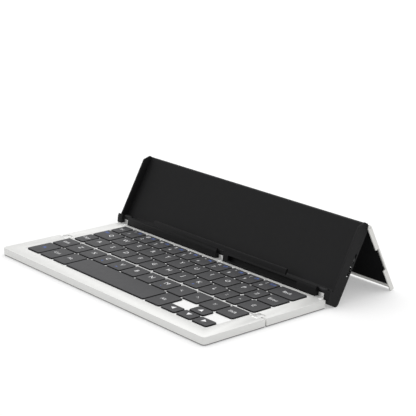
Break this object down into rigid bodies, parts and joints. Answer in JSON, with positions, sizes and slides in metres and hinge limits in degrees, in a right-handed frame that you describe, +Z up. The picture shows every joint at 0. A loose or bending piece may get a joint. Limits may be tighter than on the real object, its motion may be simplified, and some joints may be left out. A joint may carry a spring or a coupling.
{
  "type": "folding tablet keyboard",
  "caption": "Folding keyboard: two hinged key panels with a hinged tray and kickstand that prop a tablet behind the keys.",
  "frame": {"origin": "bottom middle of the box that holds the open keyboard, on the desk", "axes": "+X along the keys to the typist's right, +Y from the typist to the stand, +Z up; drawn open as in the picture"},
  "size_m": [0.2566, 0.1886, 0.0598],
  "materials": {
    "aluminium_frame": "satin, fine blasted",
    "bottom_black": "matt",
    "key_web": "bright satin",
    "circuit_board": "solder mask",
    "foot_rubber": "matt",
    "hinge_metal": "satin",
    "hinge_black": "black oxide",
    "pin_steel": "ground",
    "screw_steel": "blackened",
    "tray_black": "fine matt grain",
    "battery_foil": "foil",
    "socket_steel": "plated",
    "switch_black": "matt",
    "aluminium_stand": "satin, fine blasted",
    "lining_black": "matt",
    "keycap": "fine matt"
  },
  "bodies": {
    "middle_panel": {"middle_frame": "aluminium_frame", "middle_bottom_cover": "bottom_black", "middle_key_web": "key_web", "middle_switch_board": "circuit_board", "middle_feet": "foot_rubber", "stand_hinge_arms": "hinge_metal", "stand_hinge_knuckles": "hinge_black", "stand_hinge_pins": "pin_steel", "fold_pins_middle": "pin_steel"},
    "fold_links": {"fold_links": "hinge_metal"},
    "front_panel": {"front_frame": "aluminium_frame", "front_bottom_cover": "bottom_black", "front_key_web": "key_web", "front_switch_board": "circuit_board", "front_feet": "foot_rubber", "fold_pins_front": "pin_steel"},
    "tray": {"tray_shell": "tray_black", "tray_back_cover": "tray_black", "tablet_lip": "tray_black", "battery": "battery_foil", "controller_board": "circuit_board", "usb_socket": "socket_steel", "power_switch_body": "switch_black", "cover_screws": "screw_steel", "kickstand_pins": "pin_steel"},
    "kickstand": {"kickstand_plate": "aluminium_stand", "kickstand_lining": "lining_black"},
    "power_switch": {"power_switch_knob": "switch_black"},
    "key_space": {"key_space": "keycap"},
    "key_q": {"key_q": "keycap"},
    "key_w": {"key_w": "keycap"},
    "key_e": {"key_e": "keycap"},
    "key_r": {"key_r": "keycap"},
    "key_t": {"key_t": "keycap"},
    "key_y": {"key_y": "keycap"},
    "key_u": {"key_u": "keycap"},
    "key_i": {"key_i": "keycap"},
    "key_o": {"key_o": "keycap"},
    "key_p": {"key_p": "keycap"},
    "key_a": {"key_a": "keycap"},
    "key_s": {"key_s": "keycap"},
    "key_d": {"key_d": "keycap"},
    "key_f": {"key_f": "keycap"},
    "key_g": {"key_g": "keycap"},
    "key_h": {"key_h": "keycap"},
    "key_j": {"key_j": "keycap"},
    "key_k": {"key_k": "keycap"},
    "key_l": {"key_l": "keycap"},
    "key_z": {"key_z": "keycap"},
    "key_x": {"key_x": "keycap"},
    "key_c": {"key_c": "keycap"},
    "key_v": {"key_v": "keycap"},
    "key_b": {"key_b": "keycap"},
    "key_n": {"key_n": "keycap"},
    "key_m": {"key_m": "keycap"},
    "number_row_keys": {"number_row_keys": "keycap"},
    "middle_side_keys": {"middle_side_keys": "keycap"},
    "front_side_keys": {"front_side_keys": "keycap"},
    "arrow_keys": {"arrow_keys": "keycap"}
  },
  "joints": [
    {"name": "fold_link_hinge", "type": "hinge", "parent": "middle_panel", "child": "fold_links", "pos_m": [0, -0.03382, 0.0049], "axis": [-1, 0, 0], "range_deg": [0, 89.8]},
    {"name": "fold_front_hinge", "type": "hinge", "parent": "fold_links", "child": "front_panel", "pos_m": [0, -0.03942, 0.0049], "axis": [-1, 0, 0], "range_deg": [0, 89.8]},
    {"name": "tray_hinge", "type": "hinge", "parent": "middle_panel", "child": "tray", "pos_m": [0, 0.02928, 0.0109], "axis": [1, 0, 0], "range_deg": [0, 118.5]},
    {"name": "kickstand_hinge", "type": "hinge", "parent": "tray", "child": "kickstand", "pos_m": [0, 0.06344, 0.05516], "axis": [-1, 0, 0], "range_deg": [0, 56.79]},
    {"name": "power_switch_slide", "type": "slide", "parent": "tray", "child": "power_switch", "axis": [0, 0.4772, 0.8788], "range_m": [0, 0.0025]},
    {"name": "key_space_press", "type": "slide", "parent": "front_panel", "child": "key_space", "axis": [0, 0, -1], "range_m": [0, 0.0012], "stiffness_N_per_m": 300, "springref_m": -0.0002},
    {"name": "key_q_press", "type": "slide", "parent": "middle_panel", "child": "key_q", "axis": [0, 0, -1], "range_m": [0, 0.0012], "stiffness_N_per_m": 300, "springref_m": -0.0002},
    {"name": "key_w_press", "type": "slide", "parent": "middle_panel", "child": "key_w", "axis": [0, 0, -1], "range_m": [0, 0.0012], "stiffness_N_per_m": 300, "springref_m": -0.0002},
    {"name": "key_e_press", "type": "slide", "parent": "middle_panel", "child": "key_e", "axis": [0, 0, -1], "range_m": [0, 0.0012], "stiffness_N_per_m": 300, "springref_m": -0.0002},
    {"name": "key_r_press", "type": "slide", "parent": "middle_panel", "child": "key_r", "axis": [0, 0, -1], "range_m": [0, 0.0012], "stiffness_N_per_m": 300, "springref_m": -0.0002},
    {"name": "key_t_press", "type": "slide", "parent": "middle_panel", "child": "key_t", "axis": [0, 0, -1], "range_m": [0, 0.0012], "stiffness_N_per_m": 300, "springref_m": -0.0002},
    {"name": "key_y_press", "type": "slide", "parent": "middle_panel", "child": "key_y", "axis": [0, 0, -1], "range_m": [0, 0.0012], "stiffness_N_per_m": 300, "springref_m": -0.0002},
    {"name": "key_u_press", "type": "slide", "parent": "middle_panel", "child": "key_u", "axis": [0, 0, -1], "range_m": [0, 0.0012], "stiffness_N_per_m": 300, "springref_m": -0.0002},
    {"name": "key_i_press", "type": "slide", "parent": "middle_panel", "child": "key_i", "axis": [0, 0, -1], "range_m": [0, 0.0012], "stiffness_N_per_m": 300, "springref_m": -0.0002},
    {"name": "key_o_press", "type": "slide", "parent": "middle_panel", "child": "key_o", "axis": [0, 0, -1], "range_m": [0, 0.0012], "stiffness_N_per_m": 300, "springref_m": -0.0002},
    {"name": "key_p_press", "type": "slide", "parent": "middle_panel", "child": "key_p", "axis": [0, 0, -1], "range_m": [0, 0.0012], "stiffness_N_per_m": 300, "springref_m": -0.0002},
    {"name": "key_a_press", "type": "slide", "parent": "middle_panel", "child": "key_a", "axis": [0, 0, -1], "range_m": [0, 0.0012], "stiffness_N_per_m": 300, "springref_m": -0.0002},
    {"name": "key_s_press", "type": "slide", "parent": "middle_panel", "child": "key_s", "axis": [0, 0, -1], "range_m": [0, 0.0012], "stiffness_N_per_m": 300, "springref_m": -0.0002},
    {"name": "key_d_press", "type": "slide", "parent": "middle_panel", "child": "key_d", "axis": [0, 0, -1], "range_m": [0, 0.0012], "stiffness_N_per_m": 300, "springref_m": -0.0002},
    {"name": "key_f_press", "type": "slide", "parent": "middle_panel", "child": "key_f", "axis": [0, 0, -1], "range_m": [0, 0.0012], "stiffness_N_per_m": 300, "springref_m": -0.0002},
    {"name": "key_g_press", "type": "slide", "parent": "middle_panel", "child": "key_g", "axis": [0, 0, -1], "range_m": [0, 0.0012], "stiffness_N_per_m": 300, "springref_m": -0.0002},
    {"name": "key_h_press", "type": "slide", "parent": "middle_panel", "child": "key_h", "axis": [0, 0, -1], "range_m": [0, 0.0012], "stiffness_N_per_m": 300, "springref_m": -0.0002},
    {"name": "key_j_press", "type": "slide", "parent": "middle_panel", "child": "key_j", "axis": [0, 0, -1], "range_m": [0, 0.0012], "stiffness_N_per_m": 300, "springref_m": -0.0002},
    {"name": "key_k_press", "type": "slide", "parent": "middle_panel", "child": "key_k", "axis": [0, 0, -1], "range_m": [0, 0.0012], "stiffness_N_per_m": 300, "springref_m": -0.0002},
    {"name": "key_l_press", "type": "slide", "parent": "middle_panel", "child": "key_l", "axis": [0, 0, -1], "range_m": [0, 0.0012], "stiffness_N_per_m": 300, "springref_m": -0.0002},
    {"name": "key_z_press", "type": "slide", "parent": "front_panel", "child": "key_z", "axis": [0, 0, -1], "range_m": [0, 0.0012], "stiffness_N_per_m": 300, "springref_m": -0.0002},
    {"name": "key_x_press", "type": "slide", "parent": "front_panel", "child": "key_x", "axis": [0, 0, -1], "range_m": [0, 0.0012], "stiffness_N_per_m": 300, "springref_m": -0.0002},
    {"name": "key_c_press", "type": "slide", "parent": "front_panel", "child": "key_c", "axis": [0, 0, -1], "range_m": [0, 0.0012], "stiffness_N_per_m": 300, "springref_m": -0.0002},
    {"name": "key_v_press", "type": "slide", "parent": "front_panel", "child": "key_v", "axis": [0, 0, -1], "range_m": [0, 0.0012], "stiffness_N_per_m": 300, "springref_m": -0.0002},
    {"name": "key_b_press", "type": "slide", "parent": "front_panel", "child": "key_b", "axis": [0, 0, -1], "range_m": [0, 0.0012], "stiffness_N_per_m": 300, "springref_m": -0.0002},
    {"name": "key_n_press", "type": "slide", "parent": "front_panel", "child": "key_n", "axis": [0, 0, -1], "range_m": [0, 0.0012], "stiffness_N_per_m": 300, "springref_m": -0.0002},
    {"name": "key_m_press", "type": "slide", "parent": "front_panel", "child": "key_m", "axis": [0, 0, -1], "range_m": [0, 0.0012], "stiffness_N_per_m": 300, "springref_m": -0.0002},
    {"name": "number_row_keys_press", "type": "slide", "parent": "middle_panel", "child": "number_row_keys", "axis": [0, 0, -1], "range_m": [0, 0.0012], "stiffness_N_per_m": 300, "springref_m": -0.0002},
    {"name": "middle_side_keys_press", "type": "slide", "parent": "middle_panel", "child": "middle_side_keys", "axis": [0, 0, -1], "range_m": [0, 0.0012], "stiffness_N_per_m": 300, "springref_m": -0.0002},
    {"name": "front_side_keys_press", "type": "slide", "parent": "front_panel", "child": "front_side_keys", "axis": [0, 0, -1], "range_m": [0, 0.0012], "stiffness_N_per_m": 300, "springref_m": -0.0002},
    {"name": "arrow_keys_press", "type": "slide", "parent": "front_panel", "child": "arrow_keys", "axis": [0, 0, -1], "range_m": [0, 0.0012], "stiffness_N_per_m": 300, "springref_m": -0.0002}
  ],
  "couplings": [
    {"joint": "fold_front_hinge", "follows": "fold_link_hinge", "ratio": 1}
  ]
}
